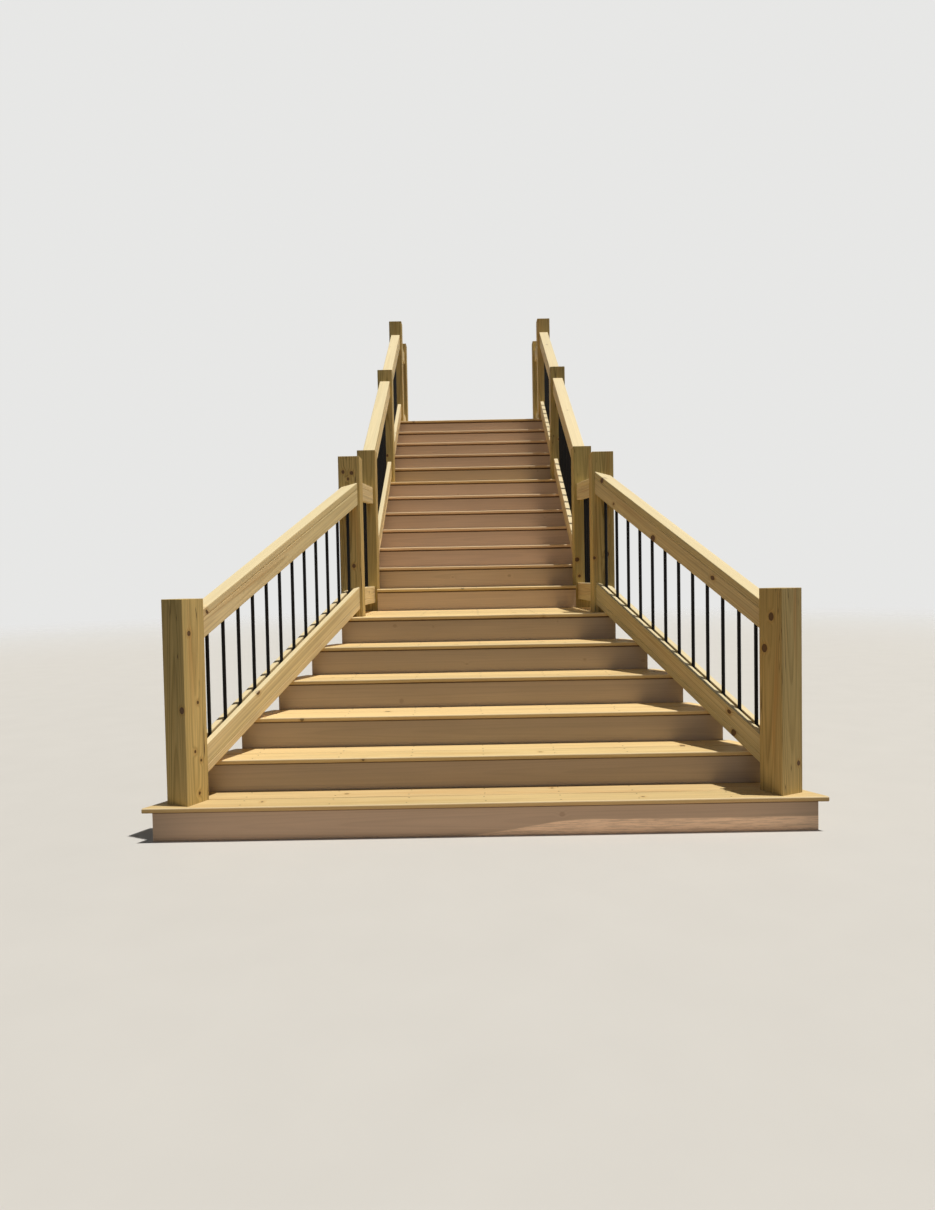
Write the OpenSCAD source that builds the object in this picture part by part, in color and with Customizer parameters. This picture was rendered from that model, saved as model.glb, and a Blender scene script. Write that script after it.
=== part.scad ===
// Flared wooden deck stairs: a wide lower flight that narrows towards a
// platform, a straight upper flight and a landing, with built-up rails and
// round black balusters between square posts. Millimetres, +Z up.
// Origin: on the ground, at the middle of the width and of the depth.
// Depth is counted from the face of the first riser until the last move.

/* [Steps] */
// height of every step
rise = 170; // [150:1:185]
// depth from one riser face to the next
going = 261; // [255:1:290]
// how far a tread stands out in front of its riser
nosing = 25; // [15:1:32]

/* [Widths] */
// length of the first riser
first_riser_len = 3242; // [2900:10:3600]
// how far the decks and the upper treads stand out past the ends of their risers
tread_end_overhang = 45; // [20:1:60]
// clear width between the posts of the upper flight
clear_width = 1544; // [1500:2:1640]

/* [Boards] */
// width of a deck board
board_w = 140; // [120:1:150]
// thickness of a deck board
board_t = 25; // [22:1:32]
// eased edge of a deck board
board_edge = 4; // [2:0.5:6]
// boards across the platform
platform_boards = 7; // [5:1:8]
// boards across the landing
landing_boards = 6; // [5:1:8]
// thickness of a riser board
riser_t = 19; // [16:1:25]
// thickness of the framing lumber
lumber_t = 38; // [35:1:45]
// depth of the stringer planks and of the rims that carry them
plank_h = 286; // [260:1:300]
// depth of the joists
joist_h = 184; // [140:1:240]

/* [Posts] */
// side of the square posts
post_w = 140; // [120:1:150]
// distance of the first posts' middles in from the ends of the first riser
first_post_inset = 146; // [125:1:160]
// distance of the first posts from the first riser face
first_post_y = 88; // [84:1:120]
// how far the front platform posts stand further in than the posts above them
platform_post_inset = 13; // [0:1:25]
// height of the first posts above their tread
first_post_h = 1010; // [950:5:1100]
// height of the front platform posts above the deck
platform_post_h = 1050; // [1000:5:1150]
// height of the posts at the foot of the upper flight above their tread
foot_post_h = 1083; // [1060:5:1200]
// height of the middle posts above their tread
middle_post_h = 1100; // [1070:5:1200]
// height of the landing posts above the deck
landing_post_h = 1144; // [1100:5:1250]
// height of the posts at the wall above the deck
wall_post_h = 1087; // [1040:5:1200]

/* [Railings] */
// depth of the two planks on edge in a rail
rail_leg = 89; // [80:1:100]
// top of the lower rails above the line of the step noses, at the first posts
lower_rail_h = 831; // [800:1:900]
// how much more than the steps the right lower top rail climbs
right_rail_gain = 21; // [-20:1:40]
// how much more than the steps the left lower top rail climbs, or less if below zero
left_rail_gain = -22; // [-40:1:20]
// top of the upper rails above the line of the step noses
upper_rail_h = 935; // [900:1:980]
// gap between the lower flight's bottom rails and the line of the step noses, at the first posts
lower_rail_lift = 4; // [3:1:40]
// how much less than the steps the lower bottom rails climb
lower_foot_loss = 21; // [0:1:25]
// gap between the upper flight's bottom rails and the line of the step noses
upper_rail_lift = 4; // [3:1:30]
// gap between a level bottom rail and the deck
level_rail_lift = 64; // [40:1:90]
// top of the platform rails above the deck at the front posts
platform_rail_h = 908; // [860:1:960]
// how much the platform's top rails climb towards the upper flight
platform_rail_climb = 56; // [0:1:80]
// top of the landing rails above the deck
landing_rail_h = 965; // [900:1:1020]
// diameter of the balusters
baluster_d = 19; // [16:1:22]
// largest distance between the balusters' middles
baluster_pitch = 113.5; // [100:0.5:125]
// last baluster of the lower railings to the middle of their upper end
last_baluster_gap = 25; // [20:1:60]

/* [Hidden] */
// steps below the platform, which is the step after them
lower_steps = 5;
// steps between the platform and the landing
upper_steps = 11;
// step whose tread carries the middle posts, counted above the platform
middle_post_step = 7;
fit_gap = 0.3;
notch_gap = 3;
// joint between the boards of a tread, so that two of them fill it
board_gap = going + nosing - 2 * board_w;
half_first = first_riser_len / 2;
first_post_x = half_first - first_post_inset;
half_clear = clear_width / 2;
// middle of the upper posts and railings
post_x = half_clear + post_w / 2;
// room between the two planks on edge of a rail
slot_w = baluster_d + 2 * fit_gap;
// the flat planks of a rail are as wide as the two planks on edge together
rail_w = 2 * lumber_t + slot_w;
// the front platform posts, and the clear width between them
platform_clear = half_clear - platform_post_inset;
platform_post_x = platform_clear + post_w / 2;
// the upper risers end flush with the outer sides of the rails
half_platform = post_x + rail_w / 2;
half_deck = half_platform + tread_end_overhang;
// each next riser of the lower flight is shorter by this at both ends
half_step = (half_first - half_platform) / lower_steps;
platform_step = lower_steps + 1;
landing_step = platform_step + upper_steps + 1;
// riser face of the platform and of the first step above it
platform_y = lower_steps * going;
platform_len = platform_boards * board_w + (platform_boards - 1) * board_gap - nosing;
upper_y = platform_y + platform_len;
landing_y = upper_y + upper_steps * going;
landing_len = landing_boards * board_w + (landing_boards - 1) * board_gap - nosing;
back_y = landing_y + landing_len;
middle_y = (back_y - nosing) / 2;
// the posts stand behind the riser board and the rim
post_set = riser_t + lumber_t;
front_post_y = platform_y + post_set;
foot_post_y = upper_y + post_set;
middle_post_y = upper_y + (middle_post_step - 1) * going + post_set;
landing_post_y = landing_y + post_set;
wall_post_y = back_y - post_w;
platform_z = platform_step * rise;
landing_z = landing_step * rise;
middle_post_z = (platform_step + middle_post_step) * rise;
steepness = rise / going;
// plank left under the notches, measured upright
throat = plank_h * sqrt(rise * rise + going * going) / going - rise;
side_slope = half_step / going;
foot_len = plank_h;
// distance between the straight stringers
stringer_gap = (half_clear - lumber_t / 2) / 2;
// turn of the first posts, in line with the lower rails
turn = atan((first_post_x - platform_post_x) / (front_post_y - first_post_y));
lower_rail_len = norm([first_post_x - platform_post_x, front_post_y - first_post_y]) - post_w / 2;
tenon_w = 76;
// overlap that joins the planks of a rail
weld = 0.01;

pine = [0.80, 0.70, 0.45];
taupe = [0.56, 0.46, 0.36];
black = [0.05, 0.05, 0.055];

// riser face of a step, counted from 1 at the ground
function step_y(k) = k <= platform_step ? (k - 1) * going
                                        : upper_y + (k - platform_step - 1) * going;
// half length of a riser; the one at the foot of the upper flight ends between
// the posts, where the platform's bottom rails pass
function riser_half(k) = k <= platform_step ? half_first - (k - 1) * half_step
                       : k == platform_step + 1 ? half_clear - notch_gap
                       : half_platform;
// height of the line through the step noses
function lower_nose(y) = rise + (y + nosing) * steepness;
function upper_nose(y) = platform_z + rise + (y - upper_y + nosing) * steepness;

module place() {
    translate([0, -middle_y, 0]) children();
}

module both_sides() {
    children();
    mirror([1, 0, 0]) children();
}

// one deck board across the stairs with its four long edges eased
module board(y, top, half_len) {
    e = board_edge;
    translate([-half_len, y, top - board_t])
        rotate([90, 0, 90])
            linear_extrude(height = 2 * half_len)
                polygon([[e, 0], [board_w - e, 0], [board_w, e], [board_w, board_t - e],
                         [board_w - e, board_t], [e, board_t], [0, board_t - e], [0, e]]);
}

// row of boards from a riser face back, the first one standing out over it
module boards(y, top, half_len, count) {
    for (i = [0 : count - 1])
        board(y - nosing + i * (board_w + board_gap), top, half_len);
}

// room for a pair of posts at the ends of the boards, open to the side
module post_notches(y, clear = half_clear) {
    both_sides()
        translate([clear - notch_gap, y - notch_gap, -1])
            cube([half_deck, post_w + 2 * notch_gap, landing_z + 2]);
}

module tread(k) {
    boards(step_y(k), k * rise, riser_half(k) + tread_end_overhang, 2);
}

// the lower treads end parallel to the slanting sides and stand out over them as
// far as over the risers
module flared_tread(k) {
    reach = sqrt(1 + side_slope * side_slope);
    y0 = step_y(k) - 2 * nosing;
    y1 = y0 + 2 * going;
    x0 = half_first - y0 * side_slope + nosing * reach;
    x1 = half_first - y1 * side_slope + nosing * reach;
    difference() {
        intersection() {
            boards(step_y(k), k * rise, half_first + going, 2);
            linear_extrude(height = platform_z)
                polygon([[-x0, y0], [x0, y0], [x1, y1], [-x1, y1]]);
        }
        if (k > 1)
            bottom_rail_room();
    }
}

module foot_tread() {
    boards(upper_y, platform_z + rise, riser_half(platform_step + 1), 2);
}

module first_tread() {
    difference() {
        flared_tread(1);
        both_sides()
            translate([first_post_x, first_post_y, 0])
                rotate([0, 0, turn])
                    translate([-tenon_w / 2 - 1, -tenon_w / 2 - 1, 0])
                        cube([tenon_w + 2, tenon_w + 2, 2 * rise]);
    }
}

module middle_tread() {
    difference() {
        tread(platform_step + middle_post_step);
        post_notches(middle_post_y);
    }
}

module platform_deck_boards() {
    difference() {
        boards(platform_y, platform_z, half_deck, platform_boards);
        post_notches(front_post_y, platform_clear);
        bottom_rail_room();
    }
}

module landing_deck_boards() {
    difference() {
        boards(landing_y, landing_z, half_deck, landing_boards);
        post_notches(landing_post_y);
        post_notches(wall_post_y);
    }
}

// a riser stands on the stringers' seat and reaches up to its tread
module riser(k) {
    foot = k == 1 ? 0 : (k - 1) * rise - board_t;
    translate([-riser_half(k), step_y(k), foot])
        cube([2 * riser_half(k), riser_t, k * rise - board_t - foot]);
}

// side view of a notched plank from step a to step b, as a flat shape in
// depth and height; the foot stands at foot_z
module stringer_shape(a, b, foot_z) {
    first_y = step_y(a) + riser_t;
    last_y = step_y(b) + going + riser_t;
    seat = function (k) k * rise - board_t;
    inner_line = seat(a) - rise;
    under_last = inner_line + (last_y - first_y) * steepness - throat;
    under_foot = first_y + (foot_z - inner_line + throat) / steepness;
    notches = [for (k = [a : b], j = [0, 1]) [step_y(k) + riser_t + j * going, seat(k)]];
    polygon(concat([[first_y, foot_z]], notches, [[last_y, under_last], [under_foot, foot_z]]));
}

module stringer(a, b, foot_z, x) {
    translate([x - lumber_t / 2, 0, 0])
        rotate([90, 0, 90])
            linear_extrude(height = lumber_t)
                stringer_shape(a, b, foot_z);
}

// slanting strip in plan between two distances in from the riser ends
module side_strip(near, far) {
    y0 = -post_w;
    y1 = platform_y + post_w;
    reach = sqrt(1 + side_slope * side_slope);
    linear_extrude(height = platform_z)
        polygon([[half_first - y0 * side_slope - near * reach, y0],
                 [half_first - y1 * side_slope - near * reach, y1],
                 [half_first - y1 * side_slope - far * reach, y1],
                 [half_first - y0 * side_slope - far * reach, y0]]);
}

// plank that runs up under the ends of the flared steps
module side_stringer() {
    intersection() {
        side_strip(0, lumber_t);
        translate([half_platform / 2, 0, 0])
            rotate([90, 0, 90])
                linear_extrude(height = half_first)
                    stringer_shape(1, lower_steps, 0);
    }
}

// short plank between the straight ones and the slanting side plank
module short_stringer(x) {
    difference() {
        stringer(1, lower_steps, 0, x);
        side_strip(-half_first, lumber_t + fit_gap);
    }
}

module all_lower_stringers() {
    stringer(1, lower_steps, 0, 0);
    both_sides() {
        stringer(1, lower_steps, 0, stringer_gap);
        stringer(1, lower_steps, 0, half_clear - lumber_t / 2);
        short_stringer((half_clear + half_first) / 2);
        side_stringer();
    }
}

module all_upper_stringers() {
    a = platform_step + 1;
    b = landing_step - 1;
    stringer(a, b, platform_z - board_t, 0);
    both_sides() {
        stringer(a, b, platform_z - board_t, stringer_gap);
        stringer(a, b, platform_z - board_t, half_clear - lumber_t / 2);
    }
}

// one plank on edge under a deck, between two corners in plan
module joist(x0, x1, y0, y1, top, tall) {
    translate([x0, y0, top - board_t - tall])
        cube([x1 - x0, y1 - y0, tall]);
}

// rims and joists under a deck; the front rim carries the stringers below, and the
// side joists pass the posts at the given clear half width
module deck_frame(front_y, end_y, top, clear) {
    rim_y = front_y + riser_t;
    inner_y = rim_y + lumber_t + fit_gap;
    inner_x = clear - lumber_t;
    joist(-half_platform, half_platform, rim_y, rim_y + lumber_t, top, plank_h);
    joist(-inner_x + fit_gap, inner_x - fit_gap, end_y - lumber_t, end_y, top, plank_h);
    both_sides()
        joist(inner_x, clear, inner_y, end_y, top, plank_h);
    for (i = [-1 : 1]) {
        x = i * stringer_gap;
        joist(x - lumber_t / 2, x + lumber_t / 2, inner_y, end_y - lumber_t - fit_gap, top, joist_h);
    }
}

module post(y, z0, z1, clear = half_clear) {
    translate([clear, y, z0])
        cube([post_w, post_w, z1 - z0]);
}

// post turned in line with the lower rails, with a tenon down to the ground
module first_post() {
    translate([first_post_x, first_post_y, 0])
        rotate([0, 0, turn]) {
            translate([-post_w / 2, -post_w / 2, rise])
                cube([post_w, post_w, first_post_h]);
            translate([-tenon_w / 2, -tenon_w / 2, 0])
                cube([tenon_w, tenon_w, rise + 1]);
        }
}

// sloping plank with upright ends: x across, y along, z up to its top edge
module slope_plank(len, climb, top, thick, x0, width) {
    tall = thick * sqrt(1 + pow(climb / len, 2));
    translate([x0, 0, top])
        rotate([90, 0, 90])
            linear_extrude(height = width)
                polygon([[0, 0], [len, climb], [len, climb - tall], [0, -tall]]);
}

// upright height of a plank's thickness on a slope
function upright(thick, len, climb) = thick * sqrt(1 + pow(climb / len, 2));

// flat plank on two planks on edge that hold the balusters between them
module top_rail(len, climb, top) {
    slope_plank(len, climb, top, lumber_t, -rail_w / 2, rail_w);
    for (s = [0, 1])
        slope_plank(len, climb, top - upright(lumber_t, len, climb) + weld, rail_leg + weld,
                    s == 0 ? -slot_w / 2 - lumber_t : slot_w / 2, lumber_t);
}

// two planks on edge standing on a flat one; top is their upper edge
module bottom_rail(len, climb, top) {
    slope_plank(len, climb, top - upright(rail_leg, len, climb), lumber_t, -rail_w / 2, rail_w);
    for (s = [0, 1])
        slope_plank(len, climb, top, rail_leg + weld,
                    s == 0 ? -slot_w / 2 - lumber_t : slot_w / 2, lumber_t);
}

module baluster(tall) {
    cylinder(d = baluster_d, h = tall, $fn = 48);
}

// balusters at the given places, from the flat plank of the bottom rail, which
// climbs with foot_tilt, to that of the top rail
module balusters_at(places, tilt, hi, foot_tilt, lo) {
    for (y = places) {
        z0 = lo + y * foot_tilt + baluster_d / 2 * foot_tilt + fit_gap;
        z1 = hi + y * tilt - baluster_d / 2 * tilt - fit_gap;
        translate([0, y, z0])
            baluster(z1 - z0);
    }
}

// even spacing between two posts
function even_places(len) =
    let (count = ceil(len / baluster_pitch) - 1)
    [for (i = [1 : count]) i * len / (count + 1)];

// full pitch counted down from the upper end
function places_from_end(len) =
    let (count = floor((len - last_baluster_gap - post_w / 2) / baluster_pitch))
    [for (i = [0 : count]) len - last_baluster_gap - i * baluster_pitch];

// frame of the lower railing: starts at the back face of the first post
module along_lower() {
    translate([first_post_x, first_post_y, 0])
        rotate([0, 0, turn])
            translate([0, post_w / 2, 0])
                children();
}

lower_start_y = first_post_y + post_w / 2 * cos(turn);
lower_step_climb = lower_rail_len * steepness * cos(turn);
lower_top = lower_nose(lower_start_y) + lower_rail_h;
lower_foot_climb = lower_step_climb - lower_foot_loss;
lower_foot_top = lower_nose(lower_start_y) + lower_rail_lift
                 + upright(rail_leg + lumber_t, lower_rail_len, lower_foot_climb);
// the rails run on a little, until the platform post's face cuts all their width
lower_stretch = 1 + rail_w * tan(turn) / lower_rail_len;

// the lower rails of the right side, whose top rail climbs the given height
module lower_rail_set(climb) {
    difference() {
        along_lower() {
            top_rail(lower_rail_len * lower_stretch, climb * lower_stretch, lower_top);
            bottom_rail(lower_rail_len * lower_stretch, lower_foot_climb * lower_stretch, lower_foot_top);
        }
        translate([0, front_post_y, 0])
            cube([half_first, half_first, landing_z]);
    }
}

// the balusters between them
module lower_row(climb) {
    foot_tilt = lower_foot_climb / lower_rail_len;
    along_lower()
        balusters_at(places_from_end(lower_rail_len), climb / lower_rail_len,
                     lower_top - upright(lumber_t, lower_rail_len, climb),
                     foot_tilt, lower_foot_top - upright(rail_leg, lower_rail_len, lower_foot_climb));
}

// room for the lower bottom rails, which are let into the noses of the boards below them
module bottom_rail_room() {
    both_sides()
        along_lower()
            slope_plank(lower_rail_len * lower_stretch, lower_foot_climb * lower_stretch, lower_foot_top,
                        rail_leg + lumber_t + fit_gap, -rail_w / 2 - fit_gap, rail_w + 2 * fit_gap);
}

// frame of a straight bay: starts at a post's back face
module along_bay(y) {
    translate([post_x, y, 0]) children();
}

platform_bay_y = front_post_y + post_w;
platform_bay_len = foot_post_y - platform_bay_y;
platform_foot_top = platform_z + level_rail_lift + rail_leg + lumber_t;
bay_a_y = foot_post_y + post_w;
bay_a_len = middle_post_y - bay_a_y;
bay_b_y = middle_post_y + post_w;
bay_b_len = landing_post_y - bay_b_y;
landing_bay_y = landing_post_y + post_w;
landing_bay_len = wall_post_y - landing_bay_y;
landing_foot_top = landing_z + level_rail_lift + rail_leg + lumber_t;

function bay_foot_top(y, len) = upper_nose(y) + upper_rail_lift
                                + upright(rail_leg + lumber_t, len, len * steepness);

module upper_rail_pair(y, len) {
    along_bay(y) {
        top_rail(len, len * steepness, upper_nose(y) + upper_rail_h);
        bottom_rail(len, len * steepness, bay_foot_top(y, len));
    }
}

module upper_baluster_row(y, len) {
    along_bay(y)
        balusters_at(even_places(len), steepness,
                     upper_nose(y) + upper_rail_h - upright(lumber_t, len, len * steepness),
                     steepness, bay_foot_top(y, len) - upright(rail_leg, len, len * steepness));
}

module level_rail_pair(y, len, climb, top, foot_top) {
    along_bay(y) {
        top_rail(len, climb, top);
        bottom_rail(len, 0, foot_top);
    }
}

module tread_1() { color(pine) place() first_tread(); }
module tread_2() { color(pine) place() flared_tread(2); }
module tread_3() { color(pine) place() flared_tread(3); }
module tread_4() { color(pine) place() flared_tread(4); }
module tread_5() { color(pine) place() flared_tread(5); }
module platform_deck() { color(pine) place() platform_deck_boards(); }
module tread_7() { color(pine) place() foot_tread(); }
module tread_8() { color(pine) place() tread(8); }
module tread_9() { color(pine) place() tread(9); }
module tread_10() { color(pine) place() tread(10); }
module tread_11() { color(pine) place() tread(11); }
module tread_12() { color(pine) place() tread(12); }
module tread_13() { color(pine) place() middle_tread(); }
module tread_14() { color(pine) place() tread(14); }
module tread_15() { color(pine) place() tread(15); }
module tread_16() { color(pine) place() tread(16); }
module tread_17() { color(pine) place() tread(17); }
module landing_deck() { color(pine) place() landing_deck_boards(); }
module lower_risers() { color(taupe) place() for (k = [1 : platform_step]) riser(k); }
module upper_risers() {
    color(taupe) place() for (k = [platform_step + 1 : landing_step]) riser(k);
}
module lower_stringers() { color(pine) place() all_lower_stringers(); }
module upper_stringers() { color(pine) place() all_upper_stringers(); }
module platform_frame() {
    color(pine) place() deck_frame(platform_y, upper_y + riser_t + foot_len, platform_z, platform_clear);
}
module landing_frame() { color(pine) place() deck_frame(landing_y, back_y, landing_z, half_clear); }
module first_posts() { color(pine) place() both_sides() first_post(); }
module platform_posts() {
    color(pine) place() both_sides()
        post(front_post_y, 0, platform_z + platform_post_h, platform_clear);
}
module foot_posts() {
    color(pine) place() both_sides() post(foot_post_y, 0, platform_z + rise + foot_post_h);
}
module middle_posts() {
    color(pine) place() both_sides() post(middle_post_y, 0, middle_post_z + middle_post_h);
}
module landing_posts() {
    color(pine) place() both_sides() post(landing_post_y, 0, landing_z + landing_post_h);
}
module wall_posts() {
    color(pine) place() both_sides() post(wall_post_y, 0, landing_z + wall_post_h);
}
module lower_rails() {
    color(pine) place() {
        lower_rail_set(lower_step_climb + right_rail_gain);
        mirror([1, 0, 0]) lower_rail_set(lower_step_climb + left_rail_gain);
    }
}
module platform_rails() {
    color(pine) place() both_sides()
        level_rail_pair(platform_bay_y, platform_bay_len, platform_rail_climb,
                        platform_z + platform_rail_h, platform_foot_top);
}
module upper_rails_a() { color(pine) place() both_sides() upper_rail_pair(bay_a_y, bay_a_len); }
module upper_rails_b() { color(pine) place() both_sides() upper_rail_pair(bay_b_y, bay_b_len); }
module landing_rails() {
    color(pine) place() both_sides()
        level_rail_pair(landing_bay_y, landing_bay_len, 0,
                        landing_z + landing_rail_h, landing_foot_top);
}
module lower_balusters_right() {
    color(black) place() lower_row(lower_step_climb + right_rail_gain);
}
module lower_balusters_left() {
    color(black) place() mirror([1, 0, 0]) lower_row(lower_step_climb + left_rail_gain);
}
module platform_row() {
    color(black) place() along_bay(platform_bay_y)
        balusters_at(even_places(platform_bay_len), platform_rail_climb / platform_bay_len,
                     platform_z + platform_rail_h
                     - upright(lumber_t, platform_bay_len, platform_rail_climb),
                     0, platform_foot_top - rail_leg);
}
module platform_balusters_right() { platform_row(); }
module platform_balusters_left() { mirror([1, 0, 0]) platform_row(); }
module upper_balusters_a_right() { color(black) place() upper_baluster_row(bay_a_y, bay_a_len); }
module upper_balusters_a_left() { mirror([1, 0, 0]) upper_balusters_a_right(); }
module upper_balusters_b_right() { color(black) place() upper_baluster_row(bay_b_y, bay_b_len); }
module upper_balusters_b_left() { mirror([1, 0, 0]) upper_balusters_b_right(); }
module landing_row() {
    color(black) place() along_bay(landing_bay_y)
        balusters_at(even_places(landing_bay_len), 0, landing_z + landing_rail_h - lumber_t,
                     0, landing_foot_top - rail_leg);
}
module landing_balusters_right() { landing_row(); }
module landing_balusters_left() { mirror([1, 0, 0]) landing_row(); }

tread_1();
tread_2();
tread_3();
tread_4();
tread_5();
platform_deck();
tread_7();
tread_8();
tread_9();
tread_10();
tread_11();
tread_12();
tread_13();
tread_14();
tread_15();
tread_16();
tread_17();
landing_deck();
lower_risers();
upper_risers();
lower_stringers();
upper_stringers();
platform_frame();
landing_frame();
first_posts();
platform_posts();
foot_posts();
middle_posts();
landing_posts();
wall_posts();
lower_rails();
platform_rails();
upper_rails_a();
upper_rails_b();
landing_rails();
lower_balusters_left();
lower_balusters_right();
platform_balusters_left();
platform_balusters_right();
upper_balusters_a_left();
upper_balusters_a_right();
upper_balusters_b_left();
upper_balusters_b_right();
landing_balusters_left();
landing_balusters_right();
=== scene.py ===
"""Looks of the flared wooden deck stairs. Every board, post, rail plank and baluster is built here
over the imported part, in metres, each with its own place in the log it was sawn from."""
import math
import random

import bmesh
import bpy
from mathutils import Matrix, Vector


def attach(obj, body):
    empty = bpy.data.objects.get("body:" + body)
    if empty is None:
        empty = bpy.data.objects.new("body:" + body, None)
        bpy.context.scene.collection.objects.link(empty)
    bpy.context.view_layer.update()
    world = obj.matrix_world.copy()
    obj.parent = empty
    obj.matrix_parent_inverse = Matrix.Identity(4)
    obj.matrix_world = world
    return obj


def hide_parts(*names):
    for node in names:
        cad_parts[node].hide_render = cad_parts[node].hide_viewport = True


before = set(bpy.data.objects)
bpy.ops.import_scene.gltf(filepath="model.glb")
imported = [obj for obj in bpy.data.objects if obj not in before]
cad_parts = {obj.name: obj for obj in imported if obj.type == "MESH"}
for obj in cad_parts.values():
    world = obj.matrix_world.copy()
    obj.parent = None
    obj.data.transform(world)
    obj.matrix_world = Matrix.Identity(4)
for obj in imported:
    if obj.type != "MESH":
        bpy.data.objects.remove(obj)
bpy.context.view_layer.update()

# Sizes of the steps and the lumber
RISE = 0.170
GOING = 0.261
NOSING = 0.025
BOARD_W = 0.140
BOARD_T = 0.025
TREAD_BOARDS = 2
BOARD_GAP = (GOING + NOSING - TREAD_BOARDS * BOARD_W) / (TREAD_BOARDS - 1)
RISER_T = 0.019
LUMBER_T = 0.038
PLANK_H = 0.286
JOIST_H = 0.184
POST_W = 0.140
HALF_POST = POST_W / 2
TENON_W = 0.076
RAIL_LEG = 0.089
BALUSTER_D = 0.019
FIT_GAP = 0.0003
NOTCH_GAP = 0.003
SLOT_W = BALUSTER_D + 2 * FIT_GAP
RAIL_W = SLOT_W + 2 * LUMBER_T
OVERHANG = 0.045

# Steps, counted from 1 at the ground, and the boards of the decks
LOWER_STEPS = 5
UPPER_STEPS = 11
PLATFORM_STEP = LOWER_STEPS + 1
UPPER_FIRST = PLATFORM_STEP + 1
MIDDLE_STEP = PLATFORM_STEP + 7
LANDING_STEP = UPPER_FIRST + UPPER_STEPS
PLATFORM_BOARDS = 7
LANDING_BOARDS = 6

# Widths, from the middle of the stairs
HALF_FIRST = 1.621
FIRST_POST_INSET = 0.146
FIRST_POST_X = HALF_FIRST - FIRST_POST_INSET
FIRST_POST_Y = 0.088
HALF_CLEAR = 0.772
POST_X = HALF_CLEAR + HALF_POST
PLATFORM_POST_INSET = 0.013
PLATFORM_CLEAR = HALF_CLEAR - PLATFORM_POST_INSET
PLATFORM_POST_X = PLATFORM_CLEAR + HALF_POST
HALF_UPPER = POST_X + RAIL_W / 2
HALF_DECK = HALF_UPPER + OVERHANG
HALF_STEP = (HALF_FIRST - HALF_UPPER) / LOWER_STEPS
SIDE_SLOPE = HALF_STEP / GOING

# Lines of the stringers and joists, where the boards are screwed down
POST_LINE = HALF_CLEAR - LUMBER_T / 2
INNER_LINE = POST_LINE / 2
FLARE_LINE = (HALF_CLEAR + HALF_FIRST) / 2
UPPER_LINES = (0.0, INNER_LINE, POST_LINE)
LOWER_LINES = (*UPPER_LINES, FLARE_LINE)

# Depths, from the face of the first riser
PLATFORM_Y = LOWER_STEPS * GOING
UPPER_Y = PLATFORM_Y + PLATFORM_BOARDS * BOARD_W + (PLATFORM_BOARDS - 1) * BOARD_GAP - NOSING
LANDING_Y = UPPER_Y + UPPER_STEPS * GOING
BACK_Y = LANDING_Y + LANDING_BOARDS * BOARD_W + (LANDING_BOARDS - 1) * BOARD_GAP - NOSING
MIDDLE_Y = (BACK_Y - NOSING) / 2
POST_SET = RISER_T + LUMBER_T
PLATFORM_POST_Y = PLATFORM_Y + POST_SET
FOOT_POST_Y = UPPER_Y + POST_SET
MIDDLE_POST_Y = UPPER_Y + (MIDDLE_STEP - UPPER_FIRST) * GOING + POST_SET
LANDING_POST_Y = LANDING_Y + POST_SET
WALL_POST_Y = BACK_Y - POST_W

# Heights of the decks, and of the posts above their tread or deck
PLATFORM_Z = PLATFORM_STEP * RISE
LANDING_Z = LANDING_STEP * RISE
STEEP = RISE / GOING
FIRST_POST_H = 1.010
PLATFORM_POST_H = 1.050
FOOT_POST_H = 1.083
MIDDLE_POST_H = 1.100
LANDING_POST_H = 1.144
WALL_POST_H = 1.087

# Railings: tops above the nose line or the deck, lifts of the bottom rails, and what a rail climbs more or
# less than the steps
LOWER_RAIL_H = 0.831
UPPER_RAIL_H = 0.935
PLATFORM_RAIL_H = 0.908
LANDING_RAIL_H = 0.965
SLOPED_RAIL_LIFT = 0.004
LEVEL_RAIL_LIFT = 0.064
LOWER_RAIL_GAIN = {"right": 0.021, "left": -0.022}
LOWER_FOOT_LOSS = 0.021
PLATFORM_RAIL_CLIMB = 0.056
BALUSTER_PITCH = 0.1135
LAST_BALUSTER_GAP = 0.025

# Wood: branches in a log, the chance of a knot for each of them and metre of half length, the longest log
BRANCHES = 6
KNOT_CHANCE = 0.30
LOG_LENGTH = 30

# How far boards lie uneven in front and what they lose of it towards the back, the parts that they are
# divided in to bend, and the screws' distance from the edges with their drift along and across
BOARD_LIFT = 0.0022
BACK_FALL = 0.7
LIFT_POINTS = 9
BOARD_PARTS = 16
SCREW_INSET = 0.03
SCREW_DRIFT = (0.006, 0.004)

# An edge runs with the grain from this cosine up, and is sharp from this angle between its faces, in radians
WITH_GRAIN = 0.98
SHARP_EDGE = 1.0

# How far edges are eased along the grain and at the sawn ends
LUMBER_EDGE, LUMBER_END = 0.003, 0.001
BOARD_EDGE, BOARD_END = 0.006, 0.0012
POST_EDGE, POST_END = 0.004, 0.0015
RAIL_EDGE = 0.0045
RISER_EDGE = 0.0012
CRISP_END = 0.0008

draw = random.Random(26)
PLACE = Matrix.Translation((0, -MIDDLE_Y, 0))
FLIP = Matrix.Diagonal((-1, 1, 1, 1))
SIDES = {"right": PLACE, "left": FLIP @ PLACE}

ACROSS = Vector((1, 0, 0))
BACK = Vector((0, 1, 0))
UP = Vector((0, 0, 1))
SLOPE = Vector((0, GOING, RISE)).normalized()
SLOPE_WIDE = Vector((0, -RISE, GOING)).normalized()


def step_y(k):
    """Riser face of a step."""
    if k <= PLATFORM_STEP:
        return (k - 1) * GOING
    return UPPER_Y + (k - UPPER_FIRST) * GOING


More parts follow.
